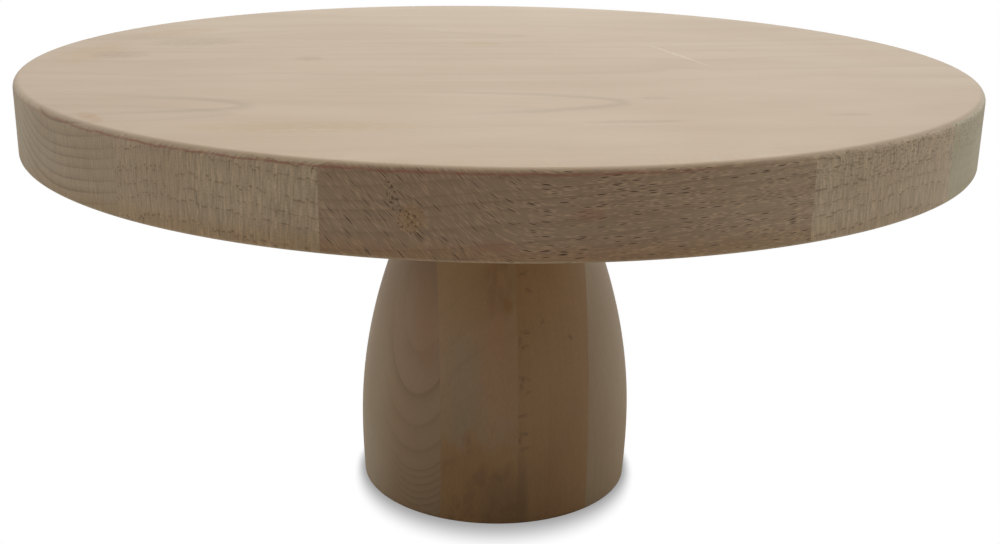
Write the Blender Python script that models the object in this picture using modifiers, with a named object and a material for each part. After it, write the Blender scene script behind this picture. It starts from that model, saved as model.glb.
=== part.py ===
"""A beech cake stand: a round plate that screws onto a turned foot.

The plate is edge-glued from parallel staves and turned round. The foot is face-glued from
four upright boards and turned to a bellied dome. A hanger bolt in the top of the foot screws
into a threaded insert under the plate, with a nylon washer between the two.

Metres, +Z up. The origin is the centre of the foot's underside, and -Y is the front.
"""

import math

import bmesh
import bpy
from mathutils import Matrix

MM = 0.001

# Driving dimensions
TOTAL_HEIGHT = 144 * MM
FIT_GAP = 0.3 * MM  # between neighbouring pieces, glue lines included

PLATE_RADIUS = 150 * MM
PLATE_THICKNESS = 22 * MM
PLATE_SEGMENTS = 128
TOP_EDGE_ROUNDING = 2.2 * MM
BOTTOM_EDGE_EASING = 0.7 * MM
PLATE_GRAIN_TURN = math.radians(7.1)  # the staves' length, counter-clockwise from +X
# Glue lines between staves, as distances in front of the centre. The first is the front one.
STAVE_JOINTS = [distance * MM for distance in (138.3, 104.5, 38, -18, -77, -122)]

FOOT_BASE_RADIUS = 45.7 * MM
FOOT_BELLY_RADIUS = 46.4 * MM
FOOT_BELLY_HEIGHT = 20 * MM
FOOT_SHOULDER_HEIGHT = 80 * MM
FOOT_UPPER_CURVE = 3.03  # metres of radius lost per square metre of height above the belly
FOOT_NECK_RADIUS = 21 * MM
FOOT_NECK_SLOPE = -0.32  # change of radius with height at the top
FOOT_EDGE_ROUNDING = 0.6 * MM
FOOT_SEGMENTS = 96
FOOT_BOARD_THICKNESS = 24.25 * MM
FOOT_FIRST_JOINT = -23 * MM  # the glue line furthest to the left of the axis
FOOT_BOARD_TURN = math.radians(8)  # the boards' stacking direction, counter-clockwise from +X

WASHER_THICKNESS = 1 * MM
WASHER_RADIUS = 17.5 * MM

THREAD_SEGMENTS = 16
MACHINE_PITCH = 1.25 * MM  # M8
MACHINE_CREST_RADIUS = 3.9 * MM
MACHINE_THREAD_DEPTH = 0.6 * MM
MACHINE_END_LENGTH = 14.1 * MM  # how far the bolt stands out of the foot
WOOD_PITCH = 3 * MM
WOOD_CREST_RADIUS = 3.9 * MM
WOOD_THREAD_DEPTH = 0.9 * MM
WOOD_END_LENGTH = 38 * MM
SHANK_LENGTH = 6 * MM
SHANK_RADIUS = 3.5 * MM

INSERT_LENGTH = 14.7 * MM
INSERT_FLANGE_RADIUS = 8.5 * MM
INSERT_FLANGE_THICKNESS = 1.2 * MM
INSERT_BARB_RADIUS = 6.2 * MM
INSERT_BODY_RADIUS = 5.5 * MM
INSERT_BARBS = 4

# Derived levels
PLATE_UNDERSIDE = TOTAL_HEIGHT - PLATE_THICKNESS
WASHER_TOP = PLATE_UNDERSIDE - FIT_GAP
WASHER_UNDERSIDE = WASHER_TOP - WASHER_THICKNESS
FOOT_HEIGHT = WASHER_UNDERSIDE - FIT_GAP
BOLT_TOP = FOOT_HEIGHT + MACHINE_END_LENGTH
SHANK_TOP = FOOT_HEIGHT - FIT_GAP
SHANK_BOTTOM = SHANK_TOP - SHANK_LENGTH
BOLT_BOTTOM = SHANK_BOTTOM - WOOD_END_LENGTH
INSERT_UNDERSIDE = PLATE_UNDERSIDE + FIT_GAP
INSERT_TOP = INSERT_UNDERSIDE + INSERT_LENGTH
BLANK_OVERHANG = 5 * MM  # how far a board or a cutter runs past the shape it is cut to


def clear_scene():
    for obj in list(bpy.data.objects):
        bpy.data.objects.remove(obj)


def make_collection(name):
    collection = bpy.data.collections.new(name)
    bpy.context.scene.collection.children.link(collection)
    return collection


def make_material(name, colour, roughness, metallic=0.0):
    material = bpy.data.materials.new(name)
    material.use_nodes = True
    shader = material.node_tree.nodes["Principled BSDF"]
    shader.inputs["Base Color"].default_value = (*colour, 1.0)
    shader.inputs["Roughness"].default_value = roughness
    shader.inputs["Metallic"].default_value = metallic
    return material


def add_object(name, mesh, collection, material=None, parent=None):
    obj = bpy.data.objects.new(name, mesh)
    collection.objects.link(obj)
    if material:
        mesh.materials.append(material)
    if parent:
        obj.parent = parent
        obj.matrix_parent_inverse = parent.matrix_basis.inverted()
    return obj


def mesh_from_bmesh(bm, name):
    mesh = bpy.data.meshes.new(name)
    bm.to_mesh(mesh)
    bm.free()
    return mesh


def make_guide(obj):
    """A cutter or guide: drawn as a wire, and no part of the object."""
    obj.hide_render = True
    obj.display_type = "WIRE"
    return obj


def make_axis(name, height, collection):
    """An empty on the object's axis, for the pieces that move together to hang from."""
    empty = bpy.data.objects.new(name, None)
    empty.location = (0, 0, height)
    empty.empty_display_size = 20 * MM
    collection.objects.link(empty)
    return empty


def box_mesh(name, size_x, size_y, size_z):
    bm = bmesh.new()
    bmesh.ops.create_cube(bm, size=1, matrix=Matrix.Diagonal((size_x, size_y, size_z, 1)))
    return mesh_from_bmesh(bm, name)


def rod_mesh(name, radius, bottom, top, segments=32):
    bm = bmesh.new()
    bmesh.ops.create_cone(
        bm,
        cap_ends=True,
        segments=segments,
        radius1=radius,
        radius2=radius,
        depth=top - bottom,
        matrix=Matrix.Translation((0, 0, (top + bottom) / 2)),
    )
    return mesh_from_bmesh(bm, name)


def turned(name, profile, segments, collection, material=None, parent=None, ring=False):
    """A solid of revolution. The profile is (radius, height) points, down its outer side.

    A ring's last point joins its first. Any other profile starts and ends on the axis.
    """
    mesh = bpy.data.meshes.new(name)
    points = [(radius, 0, height) for radius, height in profile]
    edges = [(i, i + 1) for i in range(len(points) - 1)]
    if ring:
        edges.append((len(points) - 1, 0))
    mesh.from_pydata(points, edges, [])
    obj = add_object(name, mesh, collection, material, parent)
    screw = obj.modifiers.new("turning", "SCREW")
    screw.steps = segments
    screw.render_steps = segments
    screw.use_merge_vertices = True
    screw.merge_threshold = 0.01 * MM
    return obj


def boolean(obj, other, operation):
    modifier = obj.modifiers.new(operation.lower() + " " + other.name, "BOOLEAN")
    modifier.operation = operation
    modifier.object = other
    modifier.solver = "EXACT"


def apply_modifiers(obj):
    graph = bpy.context.evaluated_depsgraph_get()
    mesh = bpy.data.meshes.new_from_object(obj.evaluated_get(graph))
    obj.modifiers.clear()
    obj.data = mesh


def shade_smooth(obj):
    obj.data.shade_smooth()
    obj.data.set_sharp_from_angle(angle=math.radians(30))


def thread_coil(name, crest_radius, depth, pitch, bottom, top, collection):
    """A right-hand thread on a solid core, as a guide to cut others with.

    One pitch of the outline is swept up a helix, and its turns are joined. Each end is
    closed by drawing the last turn in to the axis.
    """
    root_radius = crest_radius - depth
    crest_width = 0.12 * pitch
    turns = math.ceil((top - bottom) / pitch) + 2
    start = bottom - 1.5 * pitch
    outline = [
        (root_radius, 0),
        (crest_radius, (pitch - crest_width) / 2),
        (crest_radius, (pitch + crest_width) / 2),
        (root_radius, pitch),
    ]
    mesh = bpy.data.meshes.new(name)
    points = [(radius, 0, start + height) for radius, height in reversed(outline)]
    mesh.from_pydata(points, [(0, 1), (1, 2), (2, 3)], [])
    coil = make_guide(add_object(name, mesh, collection))
    screw = coil.modifiers.new("helix", "SCREW")
    screw.steps = THREAD_SEGMENTS
    screw.render_steps = THREAD_SEGMENTS
    screw.screw_offset = pitch
    screw.iterations = turns
    bpy.context.view_layer.update()
    apply_modifiers(coil)

    bm = bmesh.new()
    bm.from_mesh(coil.data)
    bmesh.ops.remove_doubles(bm, verts=bm.verts, dist=0.01 * MM)
    middle = start + turns * pitch / 2
    for above in (False, True):
        rim = [e for e in bm.edges if e.is_boundary and (e.verts[0].co.z > middle) == above]
        drawn_in = bmesh.ops.extrude_edge_only(bm, edges=rim)["geom"]
        inner = [v for v in drawn_in if isinstance(v, bmesh.types.BMVert)]
        height = sum(v.co.z for v in inner) / len(inner)
        bmesh.ops.pointmerge(bm, verts=inner, merge_co=(0, 0, height))
    bmesh.ops.recalc_face_normals(bm, faces=bm.faces)
    bm.to_mesh(coil.data)
    bm.free()
    return coil


def make_plate(parts, guides, wood, parent):
    """The staves: boards cut to the turned plate, with a recess for the insert in one."""
    bm = bmesh.new()
    bmesh.ops.create_cone(
        bm,
        cap_ends=True,
        segments=PLATE_SEGMENTS,
        radius1=PLATE_RADIUS,
        radius2=PLATE_RADIUS,
        depth=PLATE_THICKNESS,
        matrix=Matrix.Translation((0, 0, PLATE_UNDERSIDE + PLATE_THICKNESS / 2)),
    )
    middle = PLATE_UNDERSIDE + PLATE_THICKNESS / 2
    for above, width, steps in ((True, TOP_EDGE_ROUNDING, 3), (False, BOTTOM_EDGE_EASING, 1)):
        rim = [
            e
            for e in bm.edges
            if abs(e.verts[0].co.z - e.verts[1].co.z) < 0.1 * MM
            and (e.verts[0].co.z > middle) == above
        ]
        bmesh.ops.bevel(
            bm, geom=rim, offset=width, segments=steps, profile=0.5, affect="EDGES"
        )
    turning = make_guide(add_object("plate_turning", mesh_from_bmesh(bm, "plate"), guides))

    clear_radius = INSERT_FLANGE_RADIUS + FIT_GAP
    hole_radius = INSERT_BARB_RADIUS + FIT_GAP
    flange_top = INSERT_UNDERSIDE + INSERT_FLANGE_THICKNESS + FIT_GAP
    hole_top = INSERT_TOP + FIT_GAP
    recess = turned(
        "insert_hole",
        [
            (0, hole_top),
            (hole_radius, hole_top),
            (hole_radius, flange_top),
            (clear_radius, flange_top),
            (clear_radius, PLATE_UNDERSIDE - BLANK_OVERHANG),
            (0, PLATE_UNDERSIDE - BLANK_OVERHANG),
        ],
        32,
        guides,
    )
    make_guide(recess)

    ends = PLATE_RADIUS + BLANK_OVERHANG
    lines = [ends, *STAVE_JOINTS, -ends]
    for number, (front, back) in enumerate(zip(lines, lines[1:]), start=1):
        front -= FIT_GAP / 2
        back += FIT_GAP / 2
        mesh = box_mesh("stave", 2 * ends, front - back, PLATE_THICKNESS + BLANK_OVERHANG)
        stave = add_object(f"plate_stave_{number}", mesh, parts, wood, parent)
        across = (front + back) / 2
        stave.location = (
            math.sin(PLATE_GRAIN_TURN) * across,
            -math.cos(PLATE_GRAIN_TURN) * across,
            PLATE_UNDERSIDE + PLATE_THICKNESS / 2,
        )
        stave.rotation_euler.z = PLATE_GRAIN_TURN
        boolean(stave, turning, "INTERSECT")
        if back < 0 < front:
            boolean(stave, recess, "DIFFERENCE")


def foot_radius(height):
    """The foot's turned outline: a bellied base, a dome, and a short drawn-in neck."""
    if height < FOOT_BELLY_HEIGHT:
        share = (FOOT_BELLY_HEIGHT - height) / FOOT_BELLY_HEIGHT
        return FOOT_BELLY_RADIUS - (FOOT_BELLY_RADIUS - FOOT_BASE_RADIUS) * share**2
    if height < FOOT_SHOULDER_HEIGHT:
        return FOOT_BELLY_RADIUS - FOOT_UPPER_CURVE * (height - FOOT_BELLY_HEIGHT) ** 2
    # A cubic from the shoulder's radius and slope to the neck's
    rise = FOOT_SHOULDER_HEIGHT - FOOT_BELLY_HEIGHT
    shoulder_radius = FOOT_BELLY_RADIUS - FOOT_UPPER_CURVE * rise**2
    shoulder_slope = -2 * FOOT_UPPER_CURVE * rise
    span = FOOT_HEIGHT - FOOT_SHOULDER_HEIGHT
    t = (height - FOOT_SHOULDER_HEIGHT) / span
    return (
        (2 * t**3 - 3 * t**2 + 1) * shoulder_radius
        + (t**3 - 2 * t**2 + t) * span * shoulder_slope
        + (3 * t**2 - 2 * t**3) * FOOT_NECK_RADIUS
        + (t**3 - t**2) * span * FOOT_NECK_SLOPE
    )


def foot_profile():
    """(radius, height) points from the top centre down to the underside's centre."""
    steps = 13
    points = [(0, FOOT_HEIGHT)]
    upper = FOOT_HEIGHT - FOOT_EDGE_ROUNDING
    points.append((FOOT_NECK_RADIUS - FOOT_EDGE_ROUNDING, FOOT_HEIGHT))
    for i in range(steps + 1):
        height = upper + (FOOT_EDGE_ROUNDING - upper) * i / steps
        points.append((foot_radius(height), height))
    points.append((FOOT_BASE_RADIUS - FOOT_EDGE_ROUNDING, 0))
    points.append((0, 0))
    return points


def make_foot(parts, guides, wood):
    """The four upright boards, cut to the turned foot and bored for the hanger bolt."""
    turning = make_guide(turned("foot_turning", foot_profile(), FOOT_SEGMENTS, guides))
    bore = rod_mesh(
        "bolt_bore",
        WOOD_CREST_RADIUS + FIT_GAP,
        BOLT_BOTTOM - FIT_GAP,
        FOOT_HEIGHT + BLANK_OVERHANG,
        segments=24,
    )
    bore = make_guide(add_object("bolt_bore", bore, guides))

    ends = FOOT_BELLY_RADIUS + BLANK_OVERHANG
    joints = [FOOT_FIRST_JOINT + i * FOOT_BOARD_THICKNESS for i in range(3)]
    lines = [-ends, *joints, ends]
    for number, (left, right) in enumerate(zip(lines, lines[1:]), start=1):
        left += FIT_GAP / 2
        right -= FIT_GAP / 2
        mesh = box_mesh("board", right - left, 2 * ends, FOOT_HEIGHT + BLANK_OVERHANG)
        board = add_object(f"foot_board_{number}", mesh, parts, wood)
        across = (left + right) / 2
        board.location = (
            math.cos(FOOT_BOARD_TURN) * across,
            math.sin(FOOT_BOARD_TURN) * across,
            FOOT_HEIGHT / 2,
        )
        board.rotation_euler.z = FOOT_BOARD_TURN
        boolean(board, turning, "INTERSECT")
        bored = left < WOOD_CREST_RADIUS and right > -WOOD_CREST_RADIUS
        if bored:
            boolean(board, bore, "DIFFERENCE")


def make_hanger_bolt(parts, guides, steel):
    """A wood-screw end in the foot, a plain shank, and a machine-thread end above the foot."""
    chamfer = MACHINE_THREAD_DEPTH + 0.2 * MM
    overlap = 1 * MM
    point_length = 9 * MM
    tip_radius = 0.6 * MM

    machine_coil = thread_coil(
        "machine_thread",
        MACHINE_CREST_RADIUS,
        MACHINE_THREAD_DEPTH,
        MACHINE_PITCH,
        SHANK_TOP,
        BOLT_TOP,
        guides,
    )
    machine_end = turned(
        "machine_end",
        [
            (0, BOLT_TOP),
            (MACHINE_CREST_RADIUS - chamfer, BOLT_TOP),
            (MACHINE_CREST_RADIUS + overlap, BOLT_TOP - chamfer - overlap),
            (MACHINE_CREST_RADIUS + overlap, SHANK_TOP - overlap),
            (0, SHANK_TOP - overlap),
        ],
        THREAD_SEGMENTS,
        guides,
    )
    make_guide(machine_end)
    boolean(machine_end, machine_coil, "INTERSECT")

    wood_coil = thread_coil(
        "wood_thread",
        WOOD_CREST_RADIUS,
        WOOD_THREAD_DEPTH,
        WOOD_PITCH,
        BOLT_BOTTOM,
        SHANK_BOTTOM,
        guides,
    )
    wood_end = turned(
        "wood_end",
        [
            (0, SHANK_BOTTOM + overlap),
            (WOOD_CREST_RADIUS + overlap, SHANK_BOTTOM + overlap),
            (WOOD_CREST_RADIUS + overlap, BOLT_BOTTOM + point_length),
            (tip_radius, BOLT_BOTTOM),
            (0, BOLT_BOTTOM),
        ],
        THREAD_SEGMENTS,
        guides,
    )
    make_guide(wood_end)
    boolean(wood_end, wood_coil, "INTERSECT")

    shank = rod_mesh("hanger_bolt", SHANK_RADIUS, SHANK_BOTTOM, SHANK_TOP)
    bolt = add_object("hanger_bolt", shank, parts, steel)
    boolean(bolt, machine_end, "UNION")
    boolean(bolt, wood_end, "UNION")
    return bolt


def make_insert(parts, guides, brass, parent):
    """A flanged, barbed insert, tapped right through to suit the hanger bolt."""
    step = (INSERT_LENGTH - INSERT_FLANGE_THICKNESS) / INSERT_BARBS
    profile = [(0, INSERT_TOP), (INSERT_BODY_RADIUS, INSERT_TOP)]
    for i in range(INSERT_BARBS):
        foot_of_barb = INSERT_TOP - (i + 1) * step
        profile.append((INSERT_BARB_RADIUS, foot_of_barb + 0.2 * step))
        profile.append((INSERT_BODY_RADIUS, foot_of_barb + 0.1 * step))
    flange_top = INSERT_UNDERSIDE + INSERT_FLANGE_THICKNESS
    profile += [
        (INSERT_BODY_RADIUS, flange_top),
        (INSERT_FLANGE_RADIUS, flange_top),
        (INSERT_FLANGE_RADIUS, INSERT_UNDERSIDE),
        (0, INSERT_UNDERSIDE),
    ]
    insert = turned("threaded_insert", profile, 32, parts, brass, parent)
    tap = thread_coil(
        "insert_tap",
        MACHINE_CREST_RADIUS + FIT_GAP,
        MACHINE_THREAD_DEPTH,
        MACHINE_PITCH,
        SHANK_TOP,
        INSERT_TOP + BLANK_OVERHANG,
        guides,
    )
    boolean(insert, tap, "DIFFERENCE")
    return insert


def make_washer(parts, nylon, parent):
    hole_radius = MACHINE_CREST_RADIUS + FIT_GAP
    section = [
        (hole_radius, WASHER_TOP),
        (WASHER_RADIUS, WASHER_TOP),
        (WASHER_RADIUS, WASHER_UNDERSIDE),
        (hole_radius, WASHER_UNDERSIDE),
    ]
    return turned("washer", section, 48, parts, nylon, parent, ring=True)


def build():
    clear_scene()
    parts = make_collection("cake_stand")
    guides = make_collection("cutters")

    plate_wood = make_material("plate_beech", (0.57, 0.47, 0.36), 0.55)
    foot_wood = make_material("foot_beech", (0.45, 0.33, 0.22), 0.5)
    steel = make_material("zinc_plated_steel", (0.62, 0.62, 0.6), 0.35, metallic=1.0)
    brass = make_material("brass", (0.78, 0.6, 0.28), 0.3, metallic=1.0)
    nylon = make_material("nylon", (0.86, 0.85, 0.8), 0.45)

    washer_axis = make_axis("washer_axis", WASHER_UNDERSIDE, parts)
    plate_axis = make_axis("plate_axis", PLATE_UNDERSIDE, parts)
    plate_axis.parent = washer_axis
    plate_axis.matrix_parent_inverse = washer_axis.matrix_basis.inverted()

    make_foot(parts, guides, foot_wood)
    make_hanger_bolt(parts, guides, steel)
    make_washer(parts, nylon, washer_axis)
    make_insert(parts, guides, brass, plate_axis)
    make_plate(parts, guides, plate_wood, plate_axis)

    bpy.context.view_layer.update()
    for obj in parts.objects:
        if obj.type == "MESH":
            shade_smooth(obj)


build()
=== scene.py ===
"""The finished look of the beech cake stand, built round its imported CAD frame.

Each CAD node is replaced by a finer piece of the same size. A wooden one is sawn from a whole
turning by the same glue lines, and its grain is a solid texture: rings round the tree's centre,
rays pointing away from it and fibres along it, so each face shows the figure its cut would.
The bolt, the insert and the washer are turned too, and the machine and wood threads are helices.

Geometry is in metres. Places in a board's grain and on its faces are in millimetres.
"""

import math

import bmesh
import bpy
from mathutils import Matrix, Vector


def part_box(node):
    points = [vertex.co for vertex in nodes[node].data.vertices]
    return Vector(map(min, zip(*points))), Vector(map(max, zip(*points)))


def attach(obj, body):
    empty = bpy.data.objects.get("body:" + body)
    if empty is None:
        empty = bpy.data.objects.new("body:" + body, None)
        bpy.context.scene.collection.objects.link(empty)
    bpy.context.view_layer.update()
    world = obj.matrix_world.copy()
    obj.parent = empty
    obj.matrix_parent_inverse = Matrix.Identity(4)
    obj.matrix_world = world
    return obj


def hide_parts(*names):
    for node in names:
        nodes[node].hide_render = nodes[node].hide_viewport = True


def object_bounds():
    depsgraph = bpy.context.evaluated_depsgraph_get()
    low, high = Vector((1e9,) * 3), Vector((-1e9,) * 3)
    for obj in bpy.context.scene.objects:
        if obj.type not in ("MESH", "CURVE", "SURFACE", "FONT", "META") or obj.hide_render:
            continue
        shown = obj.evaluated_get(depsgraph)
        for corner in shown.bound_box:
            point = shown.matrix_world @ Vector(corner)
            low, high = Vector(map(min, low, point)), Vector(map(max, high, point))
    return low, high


MM = 0.001

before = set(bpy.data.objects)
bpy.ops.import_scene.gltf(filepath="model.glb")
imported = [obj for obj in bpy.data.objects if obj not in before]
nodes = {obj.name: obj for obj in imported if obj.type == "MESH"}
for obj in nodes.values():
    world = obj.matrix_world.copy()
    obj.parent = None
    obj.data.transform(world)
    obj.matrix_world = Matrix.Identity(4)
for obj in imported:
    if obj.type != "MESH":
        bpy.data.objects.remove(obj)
cad_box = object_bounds()

# ---------------------------------------------------------------------------------------
# The frame's sizes
# ---------------------------------------------------------------------------------------

STAVES = [f"plate_stave_{i}" for i in range(1, 8)]  # front to back
BOARDS = [f"foot_board_{i}" for i in range(1, 5)]  # left to right

STAVE_TURN = math.radians(7.1)  # the staves' length, counter-clockwise from +X
BOARD_TURN = math.radians(8)  # the foot boards' stacking direction, from +X
ALONG_STAVE = Vector((math.cos(STAVE_TURN), math.sin(STAVE_TURN), 0))
ACROSS_STAVE = Vector((math.sin(STAVE_TURN), -math.cos(STAVE_TURN), 0))  # to the front
ACROSS_BOARD = Vector((math.cos(BOARD_TURN), math.sin(BOARD_TURN), 0))
INTO_BOARD = Vector((-math.sin(BOARD_TURN), math.cos(BOARD_TURN), 0))
UP = Vector((0, 0, 1))

PLATE_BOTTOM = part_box("plate_stave_4")[0].z
PLATE_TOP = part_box("plate_stave_4")[1].z
PLATE_MIDDLE = (PLATE_TOP + PLATE_BOTTOM) / 2
PLATE_RADIUS = cad_box[1][0]
FOOT_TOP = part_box("foot_board_2")[1].z


def glue_lines(names, direction):
    """Where neighbouring nodes meet along a direction, with None beyond the outer two."""
    reach = []
    for name in names:
        distances = [v.co.dot(direction) for v in nodes[name].data.vertices]
        reach.append((min(distances), max(distances)))
    reach.sort()
    return [None, *((a[1] + b[0]) / 2 for a, b in zip(reach, reach[1:])), None]


# ---------------------------------------------------------------------------------------
# Node arithmetic
# ---------------------------------------------------------------------------------------


class Num:
    """A number in a material's node tree. Arithmetic on it adds Math nodes."""

    def __init__(self, tree, socket):
        self.tree = tree
        self.socket = socket

    def math(self, operation, *others):
        node = self.tree.nodes.new("ShaderNodeMath")
        node.operation = operation
        for i, value in enumerate((self, *others)):
            plug(self.tree, node.inputs[i], value)
        return Num(self.tree, node.outputs[0])

    def __add__(self, other):
        return self.math("ADD", other)

    def __sub__(self, other):
        return self.math("SUBTRACT", other)

    def __mul__(self, other):
        return self.math("MULTIPLY", other)

    def __truediv__(self, other):
        return self.math("DIVIDE", other)

    def __rsub__(self, other):
        return self * -1 + other

    __radd__ = __add__
    __rmul__ = __mul__

    def ramp(self, low, high, first=0.0, last=1.0):
        """Smoothly from first to last as this goes from low to high."""
        node = self.tree.nodes.new("ShaderNodeMapRange")
        node.interpolation_type = "SMOOTHSTEP"
        limits = {"From Min": low, "From Max": high, "To Min": first, "To Max": last}
        for name, value in {"Value": self, **limits}.items():
            plug(self.tree, node.inputs[name], value)
        return Num(self.tree, node.outputs["Result"])

    def near(self, centre, half_width):
        """1 at the centre, falling smoothly to 0 at half_width to either side."""
        return (self - centre).math("ABSOLUTE").ramp(0, half_width, 1, 0)


def plug(tree, socket, value):
    if isinstance(value, Num):
        value = value.socket
    if isinstance(value, bpy.types.NodeSocket):
        tree.links.new(value, socket)
    else:
        socket.default_value = value


def vector(tree, *values):
    node = tree.nodes.new("ShaderNodeCombineXYZ")
    for socket, value in zip(node.inputs, values):
        plug(tree, socket, value)
    return node.outputs[0]


def noise(tree, *point, detail=2.0):
    """Smooth noise from 0 to 1, about one feature a unit, at a point given as numbers."""
    node = tree.nodes.new("ShaderNodeTexNoise")
    plug(tree, node.inputs["Vector"], vector(tree, *point))
    node.inputs["Scale"].default_value = 1
    node.inputs["Detail"].default_value = detail
    return Num(tree, node.outputs["Fac"])


def chance(tree, number):
    """A random number from 0 to 1 for each whole number."""
    node = tree.nodes.new("ShaderNodeTexWhiteNoise")
    node.noise_dimensions = "1D"
    plug(tree, node.inputs["W"], number)
    return Num(tree, node.outputs["Value"])


def scatter(tree, *point):
    """Scattered points: how far the nearest is, and a random number of its own."""
    node = tree.nodes.new("ShaderNodeTexVoronoi")
    plug(tree, node.inputs["Vector"], vector(tree, *point))
    node.inputs["Scale"].default_value = 1
    split = tree.nodes.new("ShaderNodeSeparateColor")
    tree.links.new(node.outputs["Color"], split.inputs[0])
    return Num(tree, node.outputs["Distance"]), Num(tree, split.outputs[0])


def mix(tree, share, first, second):
    """Two colours, mixed by a share from 0 to 1."""
    node = tree.nodes.new("ShaderNodeMix")
    node.data_type = "RGBA"
    plug(tree, node.inputs[0], share)
    for socket, colour in ((node.inputs[6], first), (node.inputs[7], second)):
        plug(tree, socket, (*colour, 1) if isinstance(colour, tuple) else colour)
    return node.outputs[2]


def along(tree, socket, direction):
    """How far a vector socket reaches along a direction."""
    node = tree.nodes.new("ShaderNodeVectorMath")
    node.operation = "DOT_PRODUCT"
    tree.links.new(socket, node.inputs[0])
    node.inputs[1].default_value = direction
    return Num(tree, node.outputs["Value"])


def new_material(name):
    material = bpy.data.materials.new(name)
    material.use_nodes = True
    tree = material.node_tree
    return material, tree, tree.nodes["Principled BSDF"]


def relief(tree, shader, height):
    """Bump from a height in millimetres."""
    node = tree.nodes.new("ShaderNodeBump")
    node.inputs["Strength"].default_value = 1
    node.inputs["Distance"].default_value = MM
    plug(tree, node.inputs["Height"], height)
    tree.links.new(node.outputs[0], shader.inputs["Normal"])


# ---------------------------------------------------------------------------------------
# Beech
# ---------------------------------------------------------------------------------------

PALE = (0.50, 0.35, 0.22)
TAN = (0.42, 0.27, 0.16)
RING = (0.22, 0.12, 0.06)
RAY = (0.08, 0.04, 0.02)
RUST = (0.36, 0.13, 0.09)
HONEY = (0.40, 0.22, 0.07)
CHALK = (0.75, 0.68, 0.55)
SMUDGE = (0.20, 0.12, 0.07)
SHADE = (0.30, 0.17, 0.09)
STAIN = (0.40, 0.22, 0.10)

TOP_TONE_AND_SHEEN = (1.04, 1.10, 1.19)  # the plate's faces against its rim: partly their own tone, partly painted sheen
BACK_SHEEN = (1.04, 1.08, 1.13)  # painted sheen: the back of the top paler and greyer than the rest of it

# Sizes of the grain, in millimetres
RAY_LENGTH = 4.6  # one place for a ray
RAY_WIDTH = 0.42
RAY_DEPTH = 8
FINE_RAY_WIDTH = 0.22
STROKE_LENGTH = 4  # of a ring broken by rays
STROKE_WIDTH = 0.45
FIBRE_LENGTH = 2.5
FIBRE_WIDTH = 0.28
CLOUD_LENGTH = 60  # of a change from paler to darker wood
CLOUD_WIDTH = 22

STAVE_AXES = (ALONG_STAVE, ACROSS_STAVE, UP)
BOARD_AXES = (UP, ACROSS_BOARD, INTO_BOARD)
TOP = PLATE_TOP / MM
BOTTOM = PLATE_BOTTOM / MM


class Figure:
    """How strongly a board shows each part of its grain."""

    def __init__(self, rings, rays, ray_share, fine_rays, fibres, breaks=0):
        self.rings = rings
        self.rays = rays
        self.ray_share = ray_share  # of the places where a ray could be
        self.fine_rays = fine_rays
        self.fibres = fibres
        self.breaks = breaks  # how far the rings fall into short strokes, from 0 to 1


def patch(x, y, middle, half_length, half_width, turn=0):
    """1 at the middle of a soft-edged oval, 0 beyond it. Its turn is in degrees."""
    c, s = math.cos(math.radians(turn)), math.sin(math.radians(turn))
    x, y = x - middle[0], y - middle[1]
    a = (x * c + y * s) / half_length
    b = (y * c - x * s) / half_width
    return (a * a + b * b).ramp(0, 1, 1, 0)


class Board:
    """A place in a board, in millimetres: along, across and through it, and its face."""

    def __init__(self, tree, axes):
        place = tree.nodes.new("ShaderNodeTexCoord")
        self.tree = tree
        spot = place.outputs["Object"]
        self.l, self.u, self.v = (along(tree, spot, axis / MM) for axis in axes)
        self.x, self.y = (along(tree, spot, axis) for axis in ((1 / MM, 0, 0), (0, 1 / MM, 0)))
        self.up = along(tree, place.outputs["Normal"], UP)
        self.level = self.up.math("ABSOLUTE").ramp(0.55, 0.95)


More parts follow.
